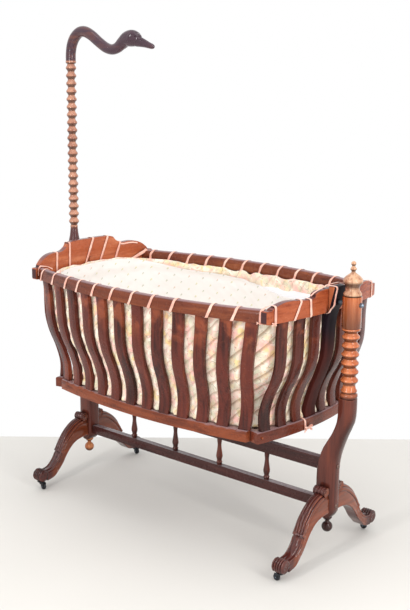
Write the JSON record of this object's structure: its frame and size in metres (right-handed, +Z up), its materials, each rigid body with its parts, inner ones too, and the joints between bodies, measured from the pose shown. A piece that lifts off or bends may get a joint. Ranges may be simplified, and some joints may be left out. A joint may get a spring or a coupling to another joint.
{
  "type": "swinging cradle on stand",
  "caption": "Slatted wooden cradle that swings between two S-shaped posts with scroll legs and casters, with a turned canopy pole ending in a swan neck and a laced-in quilted liner.",
  "frame": {"origin": "on the floor under the middle of the stand, midway between the two pivots", "axes": "+X from the head end, which carries the canopy pole, to the foot end; +Z up; -Y is the side the picture was taken from"},
  "size_m": [1.363, 0.7422, 1.7436],
  "materials": {
    "mahogany_dark": "french polish",
    "mahogany_red": "french polish",
    "mahogany_amber": "french polish",
    "caster_iron": "worn black",
    "old_steel": "dull",
    "bush_brass": "dull",
    "quilt_floral": "quilted print",
    "lining_cotton": "dotted cotton",
    "mattress_ticking": "plain cotton",
    "ribbon_pink": "satin ribbon"
  },
  "bodies": {
    "stand": {"head_post": "mahogany_dark", "foot_post": "mahogany_dark", "post_finial": "mahogany_amber", "head_post_pendant": "mahogany_amber", "foot_post_pendant": "mahogany_dark", "head_front_leg": "mahogany_dark", "head_rear_leg": "mahogany_dark", "foot_front_leg": "mahogany_dark", "foot_rear_leg": "mahogany_dark", "upper_stretcher": "mahogany_dark", "lower_stretcher": "mahogany_dark", "stretcher_spindles": "mahogany_dark", "stretcher_bolts": "old_steel", "pivot_bushes": "bush_brass", "caster_plates": "caster_iron"},
    "canopy": {"canopy_pole": "mahogany_amber", "swan_neck": "mahogany_dark"},
    "cradle": {"head_panel": "mahogany_red", "foot_panel": "mahogany_red", "front_top_rail": "mahogany_dark", "back_top_rail": "mahogany_dark", "front_bottom_rail": "mahogany_dark", "back_bottom_rail": "mahogany_dark", "head_bottom_rail": "mahogany_dark", "foot_bottom_rail": "mahogany_dark", "head_hanger": "mahogany_dark", "foot_hanger": "mahogany_dark", "front_slats": "mahogany_dark", "back_slats": "mahogany_dark", "head_slats": "mahogany_dark", "foot_slats": "mahogany_dark", "bottom_boards": "mahogany_dark", "bottom_cleats": "mahogany_dark", "corner_pegs": "mahogany_amber", "pivot_bolts": "old_steel", "pivot_nuts": "old_steel", "pivot_washers": "old_steel", "mattress": "mattress_ticking", "quilted_liner": "quilt_floral", "cotton_lining": "lining_cotton", "front_ribbon": "ribbon_pink", "back_ribbon": "ribbon_pink", "head_ribbon": "ribbon_pink", "foot_ribbon": "ribbon_pink", "ribbon_bows": "ribbon_pink"},
    "head_front_swivel": {"head_front_fork": "caster_iron", "head_front_axle": "old_steel"},
    "head_front_roller": {"head_front_wheel": "caster_iron"},
    "head_rear_swivel": {"head_rear_fork": "caster_iron", "head_rear_axle": "old_steel"},
    "head_rear_roller": {"head_rear_wheel": "caster_iron"},
    "foot_front_swivel": {"foot_front_fork": "caster_iron", "foot_front_axle": "old_steel"},
    "foot_front_roller": {"foot_front_wheel": "caster_iron"},
    "foot_rear_swivel": {"foot_rear_fork": "caster_iron", "foot_rear_axle": "old_steel"},
    "foot_rear_roller": {"foot_rear_wheel": "caster_iron"}
  },
  "joints": [
    {"name": "cradle_swing", "type": "hinge", "parent": "stand", "child": "cradle", "pos_m": [0, 0, 0.871], "axis": [1, 0, 0], "range_deg": [-30, 30]},
    {"name": "canopy_turn", "type": "hinge", "parent": "stand", "child": "canopy", "pos_m": [-0.64, 0, 0.896], "axis": [0, 0, 1], "range_deg": [-90, 90]},
    {"name": "head_front_swivel_turn", "type": "hinge", "parent": "stand", "child": "head_front_swivel", "pos_m": [-0.575, -0.258, 0.03], "axis": [0, 0, 1], "continuous": true},
    {"name": "head_front_wheel_roll", "type": "hinge", "parent": "head_front_swivel", "child": "head_front_roller", "pos_m": [-0.561, -0.258, 0.0122], "axis": [0, 1, 0], "continuous": true},
    {"name": "head_rear_swivel_turn", "type": "hinge", "parent": "stand", "child": "head_rear_swivel", "pos_m": [-0.575, 0.258, 0.03], "axis": [0, 0, 1], "continuous": true},
    {"name": "head_rear_wheel_roll", "type": "hinge", "parent": "head_rear_swivel", "child": "head_rear_roller", "pos_m": [-0.561, 0.258, 0.0122], "axis": [0, 1, 0], "continuous": true},
    {"name": "foot_front_swivel_turn", "type": "hinge", "parent": "stand", "child": "foot_front_swivel", "pos_m": [0.575, -0.258, 0.03], "axis": [0, 0, 1], "continuous": true},
    {"name": "foot_front_wheel_roll", "type": "hinge", "parent": "foot_front_swivel", "child": "foot_front_roller", "pos_m": [0.561, -0.258, 0.0122], "axis": [0, 1, 0], "continuous": true},
    {"name": "foot_rear_swivel_turn", "type": "hinge", "parent": "stand", "child": "foot_rear_swivel", "pos_m": [0.575, 0.258, 0.03], "axis": [0, 0, 1], "continuous": true},
    {"name": "foot_rear_wheel_roll", "type": "hinge", "parent": "foot_rear_swivel", "child": "foot_rear_roller", "pos_m": [0.561, 0.258, 0.0122], "axis": [0, 1, 0], "continuous": true}
  ]
}
